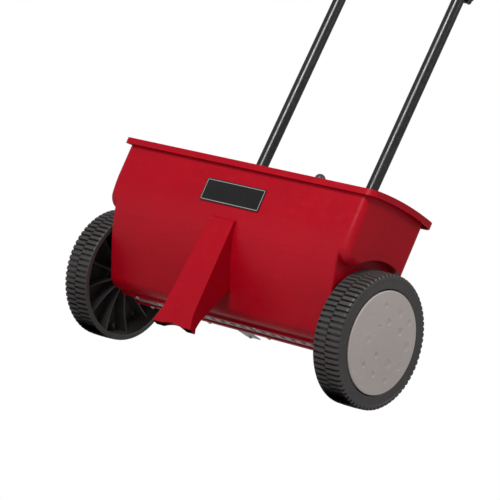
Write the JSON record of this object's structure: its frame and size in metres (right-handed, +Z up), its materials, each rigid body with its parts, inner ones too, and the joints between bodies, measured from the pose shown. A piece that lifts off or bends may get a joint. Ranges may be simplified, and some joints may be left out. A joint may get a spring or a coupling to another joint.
{
  "type": "lawn spreader",
  "caption": "Walk-behind drop spreader: moulded hopper on two wheels, a feed roller over a slotted shutter with a dose lever, a front foot and a tube handle.",
  "frame": {"origin": "on the ground, under the middle of the outline, with the spreader parked on its wheels and front foot", "axes": "+X along the axle to the right as seen from in front, +Y to the rear (towards the user), +Z up"},
  "size_m": [0.5528, 0.2456, 1.0985],
  "materials": {
    "red_plastic": "semi-gloss moulded polypropylene",
    "plate_black": "smooth gloss",
    "wheel_plastic": "moulded, matt",
    "cap_grey": "moulded, satin",
    "tube_black": "powder-coated, satin",
    "grip_foam": "closed-cell foam",
    "black_plastic": "moulded, matt",
    "zinc_plate": "zinc plated",
    "steel": "zinc plated"
  },
  "bodies": {
    "chassis": {"axle_bush_left": "black_plastic", "axle_bush_right": "black_plastic", "dose_quadrant": "black_plastic", "front_plate": "plate_black", "grip": "grip_foam", "handle_tube_left": "tube_black", "handle_tube_right": "tube_black", "hopper": "red_plastic", "joint_bolt_left": "steel", "joint_bolt_right": "steel", "pivot_screw": "steel", "push_bar": "tube_black", "quadrant_screw_left": "steel", "quadrant_screw_right": "steel", "rail_screw_front_1": "steel", "rail_screw_front_2": "steel", "rail_screw_front_3": "steel", "rail_screw_front_4": "steel", "rail_screw_rear_1": "steel", "rail_screw_rear_2": "steel", "rail_screw_rear_3": "steel", "rail_screw_rear_4": "steel", "saddle_bolt_left": "steel", "saddle_bolt_right": "steel", "saddle_screw_left_inner": "steel", "saddle_screw_left_outer": "steel", "saddle_screw_right_inner": "steel", "saddle_screw_right_outer": "steel", "shutter_rail_front": "red_plastic", "shutter_rail_rear": "red_plastic", "star_knob_left": "black_plastic", "star_knob_right": "black_plastic", "tube_saddle_left": "black_plastic", "tube_saddle_right": "black_plastic", "wing_nut_left": "steel", "wing_nut_right": "steel"},
    "drive_axle": {"axle": "steel", "drive_pin": "steel", "wheel_left": "wheel_plastic", "hub_cap_left": "cap_grey", "axle_washer_left": "steel", "axle_clip_left": "steel", "axle_washer_right": "steel", "axle_clip_right": "steel", "feed_roller": "black_plastic"},
    "free_wheel": {"wheel_right": "wheel_plastic", "hub_cap_right": "cap_grey"},
    "lever": {"dose_lever": "zinc_plate", "lever_knob": "black_plastic"},
    "shutter_plate": {"shutter": "zinc_plate"}
  },
  "joints": [
    {"name": "drive_spin", "type": "hinge", "parent": "chassis", "child": "drive_axle", "pos_m": [0, 0.02276, 0.1], "axis": [1, 0, 0], "continuous": true},
    {"name": "free_wheel_spin", "type": "hinge", "parent": "chassis", "child": "free_wheel", "pos_m": [0, 0.02276, 0.1], "axis": [1, 0, 0], "continuous": true},
    {"name": "lever_swing", "type": "hinge", "parent": "chassis", "child": "lever", "pos_m": [0, 0.06975, 0.11712], "axis": [0, 0.989, 0.1476], "range_deg": [0, 14.94]},
    {"name": "shutter_slide", "type": "slide", "parent": "chassis", "child": "shutter_plate", "axis": [-1, 0, 0], "range_m": [0, 0.01]}
  ],
  "couplings": [
    {"joint": "shutter_slide", "follows": "lever_swing", "m_per_rad": 0.03836}
  ]
}
